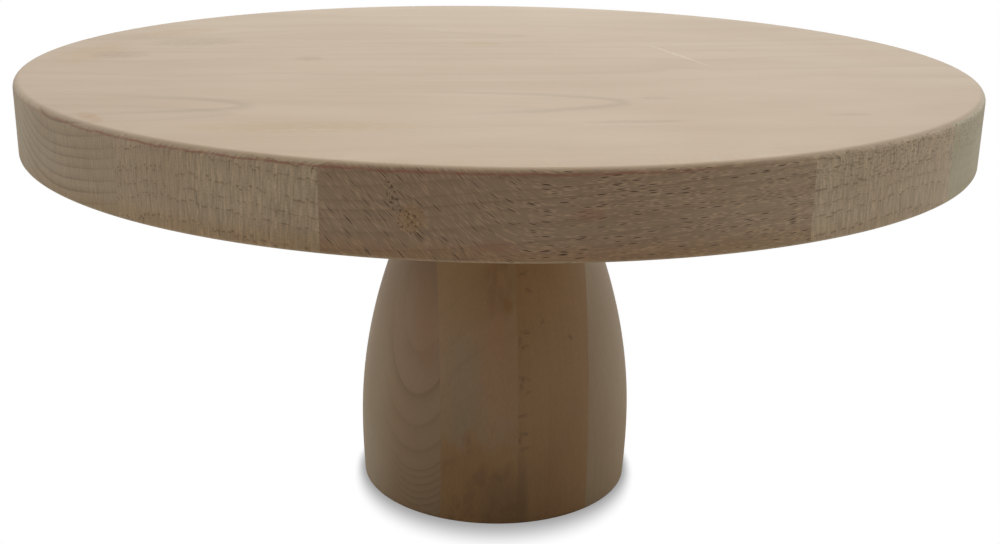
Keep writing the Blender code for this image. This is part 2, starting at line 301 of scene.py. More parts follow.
class Wood:
    """One board's wood: where its tree's centre lay, and how its grain runs.

    pith is the centre's place across and through the board, in millimetres from the frame's
    axis, and lean is its drift for each millimetre of length. years is a ring's width, or a
    function that counts rings at a distance from the pith, and waver is how unevenly they run.
    ray_pith is where the rays point to, if not to the pith. swirl turns a place into the one
    whose rays and fibres it has, where the grain isn't straight. shown says where rings show.
    """

    def __init__(
        self,
        seed,
        pith,
        figure,
        lean=(0, 0),
        years=3.1,
        waver=1,
        ray_pith=None,
        swirl=None,
        shown=None,
    ):
        self.seed = seed
        self.pith = pith
        self.figure = figure
        self.lean = lean
        self.years = years
        self.waver = waver
        self.ray_pith = ray_pith or pith
        self.swirl = swirl
        self.shown = shown

    def from_pith(self, tree, place, pith, waver):
        """How far a place is from a pith: across the board, through it, and in all."""
        l, u, v = place
        wander = noise(tree, l * 0.006 + self.seed, u * 0.02, v * 0.02, detail=1) - 0.5
        sway = noise(tree, l * 0.012, u * 0.03 + self.seed, v * 0.03, detail=1) - 0.5
        x = u - pith[0] - l * self.lean[0] + wander * (10 * waver)
        y = v - pith[1] - l * self.lean[1] + sway * (6 * waver)
        return x, y, (x * x + y * y).math("SQRT")

    def late_wood(self, board, place, turn, radius):
        """The rings: 0 in a ring's early wood, up to 1 in its late wood."""
        tree, seed, breaks = board.tree, self.seed, self.figure.breaks
        year = self.years(radius) if callable(self.years) else radius / self.years
        year = year + (noise(tree, year * 0.4 + seed, 0, 0, detail=0) - 0.5) * (1.6 * self.waver)
        between_rays = (turn / STROKE_WIDTH + place[0] / STROKE_LENGTH).math("FLOOR")
        year = year + (chance(tree, between_rays + seed) - 0.5) * (0.3 * breaks)
        part = year.math("FRACT")
        stretch = year.math("FLOOR") + seed + between_rays * (17.3 * breaks)
        vigour = chance(tree, stretch).ramp(0, 1, 0.5 - breaks * 0.4, 1)
        soft_share = 0.5 - breaks * 0.3
        soft = part.ramp(0.3, 0.9) * part.ramp(0.9, 1.0, 1, 0)
        crisp = part.ramp(0.72 + breaks * 0.1, 0.9) * part.ramp(0.9, 0.98, 1, 0)
        late = (soft * soft_share + crisp * (1 - soft_share)) * vigour
        late = late * board.level.ramp(0, 1, 1, 0.22)
        return late * self.shown(board) if self.shown else late

    def rays(self, board, place, turn, radius):
        """The rays' dark middles, the pale line round each, a painted highlight, and the fine rays
        between them.
        """
        tree, share = board.tree, self.figure.ray_share
        l, u, v = place
        flaw = (noise(tree, l * 0.15, u * 0.3, v * 0.3 + self.seed, detail=1) - 0.5) * 0.8
        cell = (l / RAY_LENGTH + self.seed, turn / RAY_WIDTH + flaw, radius / RAY_DEPTH)
        gap, own = scatter(tree, *cell)
        present = own.math("LESS_THAN", share)
        size = own / share  # 0 for the largest rays, 1 for the smallest
        from_middle = gap + size * 0.14
        middle = from_middle.ramp(0.2, 0.38, 1, 0) * present
        # painted highlight: a pale line round each ray
        edge = from_middle.near(0.5, 0.14) * present
        across = turn / FINE_RAY_WIDTH + flaw
        fine = noise(tree, l / FIBRE_LENGTH, across, radius / 5 + self.seed, detail=2) - 0.5
        return middle, edge, fine


def beech(name, axes, wood, finish):
    """A board's material. Its axes run along its grain, across its width and through it.

    finish is functions that stain the wood.
    """
    material, tree, shader = new_material(name)
    board = Board(tree, axes)
    place = (board.l, board.u, board.v)
    radius = wood.from_pith(tree, place, wood.pith, wood.waver)[2]
    if wood.swirl:
        place = wood.swirl(*place)
    x, y, ray_radius = wood.from_pith(tree, place, wood.ray_pith, wood.waver * 0.1)
    turn = x.math("ARCTAN2", y) * math.hypot(*wood.ray_pith)  # in millimetres near the axis
    late = wood.late_wood(board, place, turn, radius)
    ray, ray_highlight, fine_ray = wood.rays(board, place, turn, ray_radius)
    l, u, v = place
    fibre = noise(tree, l / FIBRE_LENGTH + wood.seed, u / FIBRE_WIDTH, v / FIBRE_WIDTH, detail=3)
    fibre = fibre - 0.5
    cloud = noise(tree, l / CLOUD_LENGTH, u / CLOUD_WIDTH + wood.seed, v / CLOUD_WIDTH, detail=3)

    figure = wood.figure
    calm = board.level.ramp(0, 1, 1, 0.1)  # the sanded top and underside show little
    blend = (cloud.ramp(0.2, 0.8, 0.2, 0.8) - 0.5) * board.level.ramp(0, 1, 1, 0.6) + 0.5
    colour = mix(tree, blend, PALE, TAN)
    colour = mix(tree, late * figure.rings, colour, RING)
    colour = mix(tree, ray * calm * figure.rays, colour, RAY)
    shade = fibre * figure.fibres + fine_ray * figure.fine_rays + ray_highlight * (figure.rays * 0.4)
    colour = times(tree, colour, shade * calm + 1)
    for stain in finish:
        colour = stain(board, colour)
    plug(tree, shader.inputs["Base Color"], colour)
    plug(tree, shader.inputs["Roughness"], cloud * 0.1 + 0.4 - ray * 0.1)
    relief(tree, shader, (fibre * 0.02 - ray * 0.03 * figure.rays - late * 0.008) * calm)
    return material


def times(tree, colour, *factors):
    """A colour times a factor for each channel, or one factor for all three."""
    node = tree.nodes.new("ShaderNodeVectorMath")
    node.operation = "MULTIPLY"
    tree.links.new(colour, node.inputs[0])
    plug(tree, node.inputs[1], vector(tree, *(factors if len(factors) == 3 else factors * 3)))
    return node.outputs[0]


def rim_tone_and_sheen(left, right):
    """A stave's tints at the rim's left and right ends and of its paler top, partly painted sheen.
    """

    def stain(board, colour):
        ends = board.l.math("ABSOLUTE").ramp(50, 150, 1, 0.93)
        tint = []
        for l_tone_and_sheen, r_tone_and_sheen, t_tone_and_sheen, b_sheen in zip(left, right, TOP_TONE_AND_SHEEN, BACK_SHEEN):
            # partly painted sheen: the rim's tints, greyer towards its ends
            rim = board.l.ramp(0, 60, l_tone_and_sheen, r_tone_and_sheen)
            # painted sheen: the back of the top paler and greyer
            back = board.u.ramp(-140, -40, b_sheen, 1)
            tint.append(board.level.ramp(0, 1, rim, ends * back * t_tone_and_sheen))
        return times(board.tree, colour, *tint)

    return stain


def toned(tint):
    """A stain of one tint all over."""

    def stain(board, colour):
        return times(board.tree, colour, *tint)

    return stain


def arris(board, colour):
    """The rim's top arris: a rust line where the finish gathered, and scratches to the right."""
    tree, l, v = board.tree, board.l, board.v
    wobble = (noise(tree, l * 0.15, 7, 0, detail=2) - 0.5) * 1.2
    line = (v + wobble).near(TOP - 1.35, 0.5) * l.ramp(-150, -110, 0.4, 1) * l.ramp(0, 55, 1, 0.1)
    uneven = noise(tree, l * 0.5, v * 2, 3, detail=2).ramp(0.3, 0.6, 0.3, 1)
    colour = mix(tree, line * uneven * 0.75, colour, RUST)
    scratch = noise(tree, l / 1.3, v / 0.5, board.u / 1.3, detail=3).ramp(0.54, 0.66)
    band = v.ramp(TOP - 15, TOP - 3) * l.ramp(30, 70) * (1 - board.level)
    return mix(tree, scratch * band * 0.6, colour, SMUDGE)


def low_edge(board, colour):
    """The rim's lowest few millimetres, more yellow than the rest, with a painted highlight on the
    lowest edge.
    """
    side = 1 - board.level
    share = board.v.ramp(BOTTOM + 1, BOTTOM + 7, 1, 0) * side
    # painted highlight: a pale line along the lowest edge
    wear_and_highlight = board.v.ramp(BOTTOM + 0.3, BOTTOM + 0.9, 1, 0) * side
    colour = mix(board.tree, wear_and_highlight * 0.3, colour, CHALK)
    share = share * board.l.ramp(30, 80, 1, 0.3)
    return mix(board.tree, share, colour, times(board.tree, colour, 0.95, 0.86, 0.74))


def arch(tip_l, tip_u, back, front):
    """A growth ring's edge on the top: a soft line round a tip, with its branches behind it.

    back and front say how fast the branch on each side spreads.
    """

    def stain(board, colour):
        off = board.u - tip_u
        far, near = off.math("MINIMUM", 0), off.math("MAXIMUM", 0)
        bend = far * far / back**2 + near * near / front**2
        slope = far * (2 / back**2) + near * (2 / front**2)
        past = (board.l - tip_l + bend) / (slope * slope + 1).math("SQRT")
        waver = (noise(board.tree, board.l / 9, board.u / 9, tip_l, detail=2) - 0.5) * 2.5
        line = (past + waver).near(0, 4) * board.l.ramp(tip_l - 65, tip_l - 4, 0, 1)
        return mix(board.tree, line * board.level * 0.3, colour, SMUDGE)

    return stain


def top_mark(middle, half_length, half_width, turn, paint, share):
    """A mark on the top, with a ragged edge."""

    def stain(board, colour):
        rag = noise(board.tree, board.x / 3, board.y / 3, middle[0], detail=3)
        rag = rag.ramp(0.3, 0.6, 0.4, 1)
        oval = patch(board.x, board.y, middle, half_length, half_width, turn)
        return mix(board.tree, oval * rag * board.up.ramp(0.2, 0.6) * share, colour, paint)

    return stain


# Marks on the top: middle (x, y), half length and width, turn from +X, paint and share
TOP_MARKS = (
    ((-104, -101), 10, 3.2, -60, STAIN, 0.75),
    ((-7, 38), 9, 6, 0, HONEY, 0.36),
    ((60, 18), 30, 1.1, -71, CHALK, 0.32),
    ((36, -96), 18, 2.8, 7, SHADE, 0.4),
    ((-50, -109), 36, 9, 7, HONEY, 0.42),
    ((44, -62), 6, 2.5, 7, SHADE, 0.45),
    ((84, -26), 14, 4, 7, HONEY, 0.2),
    ((94, -82), 9, 2.5, 7, SHADE, 0.36),
    ((-134, 4), 12, 32, -5, HONEY, 0.4),
    ((-105, 30), 20, 12, 20, SHADE, 0.5),
    ((-124, 0), 12, 10, 20, SHADE, 0.5),
    ((-118, 52), 26, 10, 40, HONEY, 0.4),
    ((-62, -2), 6, 6, 7, SHADE, 0.45),
    ((126, 24), 34, 12, 105, HONEY, 0.2),
)


def top_marks(low, high):
    """The marks that reach the stave between two glue lines, in metres behind the axis."""
    low = -PLATE_RADIUS if low is None else low
    high = PLATE_RADIUS if high is None else high
    kept = []
    for mark in TOP_MARKS:
        behind = -Vector((*mark[0], 0)).dot(ACROSS_STAVE)
        if low / MM - mark[1] < behind < high / MM + mark[1]:
            kept.append(top_mark(*mark))
    return kept


def knot_beside(l, u, v):
    """Stave 1's grain: level to the right, and running down to the right at its left end.

    To the right the rays are also packed closer.
    """
    middle = PLATE_MIDDLE / MM
    drop = l * 0.03 + (l + 14).math("SMOOTH_MIN", 0, 14) * 1.1
    closer = l.ramp(-35, 5, 1, 1.35)
    return l * 1.15, u * 0.1 + 130, (v - middle) * closer + middle + drop


def knot_marks(board, colour):
    """What the knot left on stave 1's rim: a honey patch, pale flecks and dark scribbles.

    Two pinker spots lie beside it.
    """
    tree, l, v = board.tree, board.l, board.v
    side = 1 - board.level
    honey = patch(l, v, (-37.5, 131.7), 3.8, 4.4)
    inside = honey.ramp(0, 0.5)
    trail = patch(l, v, (-41.5, 136.5), 5.5, 1.4, -72).ramp(0, 0.6)
    scribble = noise(tree, l / 0.7, v / 0.9, 5, detail=3)
    colour = mix(tree, honey * side * 0.5, colour, HONEY)
    colour = mix(tree, inside * scribble.ramp(0.6, 0.7) * side * 0.4, colour, CHALK)
    colour = mix(tree, inside * scribble.ramp(0.34, 0.44, 1, 0) * side * 0.8, colour, RAY)
    colour = mix(tree, trail * scribble.ramp(0.4, 0.5, 1, 0) * side * 0.8, colour, RAY)
    for middle, half_length, half_width in (((2, 133.4), 5, 2.2), ((-19, 126), 6, 2)):
        spot = patch(l, v, middle, half_length, half_width)
        colour = mix(tree, spot * side * 0.3, colour, RUST)
    return colour


# ---------------------------------------------------------------------------------------
# Turned wood
# ---------------------------------------------------------------------------------------

# Sizes that the frame's boxes don't give; they are the CAD pieces' own
PLATE_TOP_EDGE = 2.2 * MM  # roundings
PLATE_LOW_EDGE = 0.7 * MM
FOOT_LOW_EDGE = 0.6 * MM
FIT_GAP = 0.3 * MM
FLANGE_THICKNESS = 1.2 * MM
BARB_RADIUS = 6.2 * MM

GLUE_LINE = 0.02 * MM
INSERT_CLEARANCE = 0.1 * MM
FOOT_CURVE_STEPS = 6  # between two of the CAD foot's rings
FEWEST_RING_POINTS = 41  # at one height, in a turned ring of the CAD foot


def revolve(profile, segments, closed=False):
    """A solid of revolution. The profile is (radius, height) points, axis to axis.

    A radius may be a function of the turn, for a thread. A closed profile makes a ring.
    """
    bm = bmesh.new()
    rings = []
    for radius, height in profile:
        turns = [2 * math.pi * i / segments for i in range(segments if radius else 1)]
        reach = [radius(t) if callable(radius) else radius for t in turns]
        points = [(r * math.cos(t), r * math.sin(t), height) for r, t in zip(reach, turns)]
        rings.append([bm.verts.new(point) for point in points])
    if closed:
        rings.append(rings[0])
    for one, two in zip(rings, rings[1:]):
        for i in range(segments):
            j = i + 1
            corners = (one[i % len(one)], one[j % len(one)], two[j % len(two)], two[i % len(two)])
            bm.faces.new(dict.fromkeys(corners))
    bmesh.ops.recalc_face_normals(bm, faces=bm.faces)
    return bm


def saw(bm, direction, distance):
    """Takes off what lies beyond a distance along a direction, and closes the sawn face."""
    made = bmesh.ops.bisect_plane(
        bm,
        geom=bm.verts[:] + bm.edges[:] + bm.faces[:],
        plane_co=direction * distance,
        plane_no=direction,
        clear_outer=True,
    )
    rim = [e for e in made["geom_cut"] if isinstance(e, bmesh.types.BMEdge)]
    bmesh.ops.holes_fill(bm, edges=rim, sides=0)


def add_piece(name, bm, material, body, slot, *replaced):
    """A finished piece on a body, in place of the CAD nodes it replaces."""
    mesh = bpy.data.meshes.new(name)
    bmesh.ops.recalc_face_normals(bm, faces=bm.faces)
    bm.to_mesh(mesh)
    bm.free()
    mesh.materials.append(material)
    mesh.shade_smooth()
    mesh.set_sharp_from_angle(angle=math.radians(30))
    piece = bpy.data.objects.new(name, mesh)
    bpy.context.scene.collection.objects.link(piece)
    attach(piece, body)
    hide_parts(*replaced)


def add_board(node, profile, segments, cut, material, body, slot):
    """One turning, sawn along a board's two glue lines, in place of the board's CAD node.

    cut is the direction across the glue lines, and how far along it each of the two lies.
    """
    direction, low, high = cut
    bm = revolve(profile, segments)
    if low is not None:
        saw(bm, -direction, -(low + GLUE_LINE / 2))
    if high is not None:
        saw(bm, direction, high - GLUE_LINE / 2)
    add_piece(f"beech_{node}", bm, material, body, slot, node)


def rounded(radius, height, size, start, end, steps):
    """Points of an edge's rounding about a centre, between two angles above level."""
    turns = [math.radians(start + (end - start) * i / steps) for i in range(steps + 1)]
    return [(radius + size * math.cos(t), height + size * math.sin(t)) for t in turns]


def plate_profile():
    """The plate's outline, from the middle of its top round to the insert's stepped hole."""
    top, low = PLATE_TOP_EDGE, PLATE_LOW_EDGE
    insert_low, insert_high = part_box("threaded_insert")
    flange_radius = insert_high.x + INSERT_CLEARANCE
    flange_top = insert_low.z + FLANGE_THICKNESS + INSERT_CLEARANCE
    hole_radius = BARB_RADIUS + INSERT_CLEARANCE
    hole_top = insert_high.z + INSERT_CLEARANCE
    return [
        (0, PLATE_TOP),
        *((PLATE_RADIUS * share, PLATE_TOP) for share in (0.2, 0.45, 0.7, 0.9)),
        *rounded(PLATE_RADIUS - top, PLATE_TOP - top, top, 90, 0, 8),
        *rounded(PLATE_RADIUS - low, PLATE_BOTTOM + low, low, 0, -90, 4),
        *((PLATE_RADIUS * share, PLATE_BOTTOM) for share in (0.8, 0.5, 0.2)),
        (flange_radius, PLATE_BOTTOM),
        (flange_radius, flange_top),
        (hole_radius, flange_top),
        (hole_radius, hole_top),
        (0, hole_top),
    ]


def foot_levels():
    """(radius, height) of the CAD foot's turned rings, from the bottom up."""
    counts, radii = {}, {}
    for name in BOARDS:
        for v in nodes[name].data.vertices:
            level = round(v.co.z / MM, 2)
            counts[level] = counts.get(level, 0) + 1
            radii[level] = max(radii.get(level, 0), v.co.xy.length)
    turned = [level for level in sorted(counts) if counts[level] >= FEWEST_RING_POINTS]
    return [(radii[level], level * MM) for level in turned]


def smoothed(rings, steps):
    """(radius, height) points of a smooth curve through rings, with steps between each two."""

    def slope(i):
        before, after = rings[max(i - 1, 0)], rings[min(i + 1, len(rings) - 1)]
        return (after[0] - before[0]) / (after[1] - before[1])

    curve = []
    for i, (one, two) in enumerate(zip(rings, rings[1:])):
        span = two[1] - one[1]
        for step in range(steps):
            t = step / steps
            radius = (2 * t**3 - 3 * t**2 + 1) * one[0] + (3 * t**2 - 2 * t**3) * two[0]
            radius += (t**3 - 2 * t**2 + t) * span * slope(i)
            radius += (t**3 - t**2) * span * slope(i + 1)
            curve.append((radius, one[1] + t * span))
    curve.append(rings[-1])
    return curve


def foot_profile():
    """The CAD foot's outline, with a smooth curve through its turned rings, and its bore."""
    bolt_low, bolt_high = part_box("hanger_bolt")
    bore_floor = bolt_low.z - FIT_GAP
    bore = bolt_high.x + FIT_GAP
    levels = [p for p in foot_levels() if p[0] > 2 * bore]
    rings, neck = levels[1:-1], levels[-1]
    outline = smoothed(rings, FOOT_CURVE_STEPS)
    corner = rings[0][0] - FOOT_LOW_EDGE
    return [
        (0, bore_floor),
        (bore, bore_floor),
        (bore, neck[1]),
        neck,
        *reversed(outline[1:]),
        *rounded(corner, FOOT_LOW_EDGE, FOOT_LOW_EDGE, 0, -90, 4),
        (corner * 0.5, 0),
        (0, 0),
    ]


# ---------------------------------------------------------------------------------------
# The fixing's metal and nylon
# ---------------------------------------------------------------------------------------

ZINC = (0.55, 0.56, 0.58)
DULL_ZINC = (0.30, 0.30, 0.31)
BRASS = (0.66, 0.45, 0.17)
DULL_BRASS = (0.30, 0.17, 0.06)
NYLON = (0.72, 0.69, 0.60)
WORN_NYLON = (0.50, 0.45, 0.36)

# The CAD pieces' own sizes
MACHINE_PITCH = 1.25 * MM  # M8
MACHINE_DEPTH = 0.6 * MM
MACHINE_START = FOOT_TOP - FIT_GAP + MACHINE_PITCH / 2  # where its root crosses +X
THREAD_IN_FOOT = 0.5 * MM  # how far it reaches into the foot, past the gap
END_CHAMFER = 0.8 * MM
TAPPED_RADIUS = 4.2 * MM
WOOD_THREAD_LENGTH = 38 * MM
WOOD_PITCH = 3 * MM
WOOD_DEPTH = 0.9 * MM
POINT_RADIUS = 0.6 * MM
POINT_SLOPE = 4.3 / 9  # of the wood thread's point: radius for each unit of height
SHANK_RADIUS = 3.5 * MM
INSERT_RADIUS = 5.5 * MM
BARBS = 4
FLANGE_EDGE = 0.25 * MM
WASHER_HOLE_RADIUS = 4.2 * MM
WASHER_EDGE = 0.2 * MM


def lathe_turned(name, colour, dull, metallic, roughness, edge):
    """A piece cut on a lathe: fine marks round its axis, dull in patches, bright at its edge."""
    material, tree, shader = new_material(name)
    spot = tree.nodes.new("ShaderNodeTexCoord").outputs["Object"]
    x, y, z = (along(tree, spot, axis) for axis in ((1 / MM, 0, 0), (0, 1 / MM, 0), (0, 0, 1 / MM)))
    radius = (x * x + y * y).math("SQRT")
    cloud = noise(tree, x / 2, y / 2, z / 2, detail=4)
    marks = noise(tree, radius * 9, z * 9, x / 6, detail=2) - 0.5
    wear_and_highlight = radius.ramp(edge - 0.5, edge) * cloud.ramp(0.3, 0.6)
    paint = mix(tree, cloud.ramp(0.4, 0.7, 0, 0.7) * (1 - wear_and_highlight), colour, dull)
    plug(tree, shader.inputs["Base Color"], times(tree, paint, marks * 0.25 + 1))
    plug(tree, shader.inputs["Roughness"], cloud * 0.25 + marks * 0.15 - wear_and_highlight * 0.12 + roughness)
    shader.inputs["Metallic"].default_value = metallic
    relief(tree, shader, marks * 0.015 - cloud * 0.01)
    return material


def thread(crest, depth, pitch, start, low, high, limit=lambda height: 1):
    """A right-hand thread's levels, for revolve(), from low to high.

    Its root crosses +X at the start height, and limit caps its radius at a height.
    """
    crest_share = 0.12  # of the pitch
    steps = math.ceil((high - low) / pitch * 16)

    def radius_at(height):
        def radius(turn):
            phase = ((height - start) / pitch - turn / (2 * math.pi)) % 1
            rise = min((1 - abs(phase * 2 - 1)) / (1 - crest_share), 1)
            return min(crest - depth + depth * rise, limit(height))

        return radius

    heights = [low + (high - low) * i / steps for i in range(steps + 1)]
    return [(radius_at(height), height) for height in heights]


def bolt_profile():
    """The CAD bolt's shape: a pointed wood thread, a plain shank and a chamfered M8 thread."""
    low, high = (corner.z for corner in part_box("hanger_bolt"))
    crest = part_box("hanger_bolt")[1].x
    wood_end = low + WOOD_THREAD_LENGTH
    machine_low = FOOT_TOP - FIT_GAP - THREAD_IN_FOOT

    def point(height):
        return POINT_RADIUS + (height - low) * POINT_SLOPE

    def chamfer(height):
        return crest - END_CHAMFER + high - height

    wood_start = low + WOOD_PITCH / 2
    wood = thread(crest, WOOD_DEPTH, WOOD_PITCH, wood_start, low, wood_end, point)
    machine = thread(
        crest, MACHINE_DEPTH, MACHINE_PITCH, MACHINE_START, machine_low, high, chamfer
    )
    shank = [(SHANK_RADIUS, wood_end), (SHANK_RADIUS, machine_low)]
    return [(0, low), *wood, *shank, *machine, (0, high)]


def insert_profile():
    """The CAD insert's shape: a flange, four barbs and a tapped bore."""
    low, high = (corner.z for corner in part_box("threaded_insert"))
    flange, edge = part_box("threaded_insert")[1].x, FLANGE_EDGE
    flange_top = low + FLANGE_THICKNESS
    step = (high - flange_top) / BARBS
    outside = [(INSERT_RADIUS, high)]
    for i in range(1, BARBS + 1):
        foot = high - i * step
        outside += [(BARB_RADIUS, foot + 0.2 * step), (INSERT_RADIUS, foot + 0.1 * step)]
    outside += [
        (INSERT_RADIUS, flange_top),
        (flange - edge, flange_top),
        (flange, flange_top - edge),
        (flange, low + edge),
        (flange - edge, low),
    ]
    tapped = thread(TAPPED_RADIUS, MACHINE_DEPTH, MACHINE_PITCH, MACHINE_START, low, high)
    return [*outside, *tapped]


def washer_profile():
    """The CAD washer's shape, with its outer edges eased."""
    low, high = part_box("washer")
    edge = WASHER_EDGE
    return [
        (WASHER_HOLE_RADIUS, low.z),
        (high.x - edge, low.z),
        (high.x, low.z + edge),
        (high.x, high.z - edge),
        (high.x - edge, high.z),
        (WASHER_HOLE_RADIUS, high.z),
    ]


# ---------------------------------------------------------------------------------------
# The pieces
# ---------------------------------------------------------------------------------------

RAY_FLECKED = Figure(rings=0.35, rays=1.0, ray_share=0.6, fine_rays=0.3, fibres=0.65)
RAY_LINED = Figure(rings=0.75, rays=0.45, ray_share=0.1, fine_rays=1.0, fibres=0.6, breaks=1)
RINGED = Figure(rings=0.7, rays=0.4, ray_share=0.1, fine_rays=0.8, fibres=0.6)
STREAKED = Figure(rings=0.07, rays=0.05, ray_share=0.08, fine_rays=0.08, fibres=0.3)
ARCHED = Figure(rings=0.34, rays=0.1, ray_share=0.05, fine_rays=0.08, fibres=0.2)

PLAIN = (1, 1.05, 1.1)  # the tint of a rim that isn't seen from the front

PLATE_SEGMENTS = 640
FOOT_SEGMENTS = 256
THREAD_SEGMENTS = 64
WASHER_SEGMENTS = 128


def low_rings(radius):
    """Board 1's rings where its pith leans in: wide above, narrow near the base."""
    inside = 84.2 - radius
    return inside.math("MAXIMUM", 0) / 2.7 + inside.math("MINIMUM", 0)


# Flecks on board 3: middle (across, up), half length and width, and turn from level
CROSS_FLECKS = (
    ((3.4, 82), 2.2, 1.0, 24),
    ((5.2, 77), 1.8, 0.8, -30),
    ((3.7, 64.5), 2.2, 0.9, -8),
    ((2.1, 62), 2.0, 0.8, 84),
    ((3.5, 60), 2.0, 0.8, 12),
    ((9.5, 67), 1.5, 0.7, 55),
    ((19, 61), 1.5, 0.8, -45),
    ((3.0, 50), 2.8, 1.1, -14),
    ((2.2, 47.5), 2.2, 0.9, 78),
    ((4.2, 45.5), 1.6, 0.7, 28),
    ((2.7, 38), 2.4, 0.9, 9),
    ((3.4, 32), 2.6, 0.9, -7),
    ((1.9, 30), 2.0, 0.8, 80),
    ((3.2, 27), 2.4, 0.9, 14),
)


def cross_flecks_and_shade(board, colour):
    """Board 3's column of short dark flecks, beside the foot's middle glue line.

    Below them runs a dark streak, and painted shade makes the board's top darker.
    """
    tree, l, u = board.tree, board.l, board.u
    rag = noise(tree, l / 0.7, u / 1.1, 4, detail=3).ramp(0.35, 0.6, 0.15, 1)
    for fleck in CROSS_FLECKS:
        colour = mix(tree, patch(u, l, *fleck) * rag * 0.5, colour, SMUDGE)
    colour = mix(tree, patch(u, l, (2.5, 8), 3.2, 20) * 0.4, colour, SMUDGE)
    # painted shade: the top darker, under the plate
    return mix(tree, board.l.ramp(62, 92), colour, times(tree, colour, 0.91, 0.88, 0.81))


def base_blotches_and_shade(board, colour):
    """Board 2 is browner and blotched near the base, and greyer and pinker in bands above.

    Near its top is a dark smear with an amber spot, and painted shade darkens its top.
    """
    tree, l, u = board.tree, board.l, board.u
    edge = (noise(tree, l / 9, u / 5, 4, detail=2) - 0.5) * 24
    low = (l + edge).ramp(20, 36, 1, 0)
    colour = mix(tree, low, colour, times(tree, colour, 0.97, 0.89, 0.74))
    # painted shade: darker and browner high up, under the plate
    colour = mix(tree, l.ramp(60, 90), colour, times(tree, colour, 0.9, 0.9, 0.78))
    blotch = noise(tree, l / 10, u / 6, 2, detail=3).ramp(0.48, 0.66)
    colour = mix(tree, low * blotch * 0.3, colour, SMUDGE)
    colour = mix(tree, patch(u, l, (-3, 8), 11, 15) * 0.34, colour, SMUDGE)
    grey = (u + 16).near(0, 9) * (l + edge).ramp(28, 34) * l.ramp(56, 70, 1, 0)
    colour = mix(tree, grey, colour, times(tree, colour, 0.93, 1.04, 1.14))
    pink = (u + 5).near(0, 8) * (l + edge).ramp(36, 44)
    colour = mix(tree, pink, colour, times(tree, colour, 1.03, 0.96, 0.98))
    smear = noise(tree, l / 7, u / 3, 6, detail=3).ramp(0.35, 0.6, 0.3, 1)
    colour = mix(tree, patch(u, l, (-4, 79), 6, 14) * smear * 0.3, colour, SMUDGE)
    return mix(tree, patch(u, l, (-1.8, 73), 2.2, 3.4) * smear * 0.7, colour, HONEY)


def side_tones_sheen_and_shade(board, colour):
    """Board 1: greyer at its outer side with painted sheen, redder by its glue line high up, darker
    above with painted shade.
    """
    tree, l, u = board.tree, board.l, board.u
    # painted sheen: the outer side paler and greyer
    colour = mix(tree, u.ramp(-45, -36, 1, 0), colour, times(tree, colour, 1.09, 1.21, 1.31))
    red = (u + 27).near(0, 6) * l.ramp(44, 56)
    colour = mix(tree, red * 0.8, colour, times(tree, colour, 1.0, 0.88, 0.86))
    # painted shade: darker high up, under the plate
    colour = mix(tree, l.ramp(60, 92), colour, times(tree, colour, 0.72, 0.70, 0.64))
    # painted sheen: paler and greyer low down at the outer side
    foot_side = u.ramp(-42, -30, 1, 0) * l.ramp(12, 36, 1, 0)
    return mix(tree, foot_side, colour, times(tree, colour, 1.12, 1.19, 1.28))


def plain_stave(seed, pith, figure):
    """A stave that doesn't reach the front of the rim."""
    return Wood(seed, pith, figure), (PLAIN, PLAIN), ()


def stave_woods():
    """Each stave's wood, front to back, with its rim's tints at both ends, partly painted sheen,
    and its stains.
    """
    arches = (arch(25.2, 72.7, 2.5, 2.3), arch(-77.7, 74.0, 2.8, 1.5))
    front = Wood(
        seed=1,
        pith=(144, 60),
        figure=RAY_FLECKED,
        lean=(0, 0.086),
        ray_pith=(30, 100),
        swirl=knot_beside,
    )
    second = Wood(
        seed=2,
        pith=(121, 63),
        figure=RAY_LINED,
        years=3.7,
        ray_pith=(112, -600),
    )
    third = Wood(
        seed=3,
        pith=(84, 196),
        figure=RINGED,
        lean=(0, 0.04),
        years=2.9,
        waver=0.5,
        ray_pith=(80, 600),
        shown=lambda board: board.l.ramp(0, 60, 1, 0.35) * board.u.ramp(86, 104, 1, 0.45),
    )
    return (
        (front, ((0.83, 0.81, 0.83), (1.02, 1.08, 1.15)), (knot_marks,)),
        (second, ((1.1, 1.2, 1.29), (1.27, 1.44, 1.6)), ()),
        (third, ((1.0, 1.1, 1.16), (1.17, 1.5, 1.62)), arches),
        plain_stave(4, (10, 233), RINGED),
        plain_stave(5, (-60, 63), RINGED),
        plain_stave(6, (-100, 213), RINGED),
        plain_stave(7, (-130, 33), RAY_LINED),
    )


def foot_woods():
    """Each foot board's wood, left to right, with its tint and stains."""
    first = Wood(
        seed=11,
        pith=(-92.8, -99.4),
        figure=ARCHED,
        lean=(0.246, 0.263),
        years=low_rings,
        waver=0.2,
        shown=lambda board: board.u.ramp(-41, -34, 0.2, 1) * board.l.ramp(48, 64, 1, 0.2),
    )
    return (
        (first, (1, 1, 1), (side_tones_sheen_and_shade,)),
        (Wood(12, (-10, 80), STREAKED), (1.1, 1.05, 0.97), (base_blotches_and_shade,)),
        (Wood(13, (80, -10), STREAKED), (1.01, 0.89, 0.7), (cross_flecks_and_shade,)),
        (Wood(14, (40, 90), STREAKED), (1.08, 1.17, 1.22), ()),
    )


def add_plate():
    """The staves, sawn from one turned plate. Distances run to the back, as the staves do."""
    to_back = -ACROSS_STAVE
    lines = glue_lines(STAVES, to_back)
    for node, low, high, (wood, tones, stains) in zip(STAVES, lines, lines[1:], stave_woods()):
        finish = (rim_tone_and_sheen(*tones), *stains, low_edge, arris, *top_marks(low, high))
        material = beech(f"beech_{node}", STAVE_AXES, wood, finish)
        cut = (to_back, low, high)
        add_board(node, plate_profile(), PLATE_SEGMENTS, cut, material, "plate", "plate_wood")


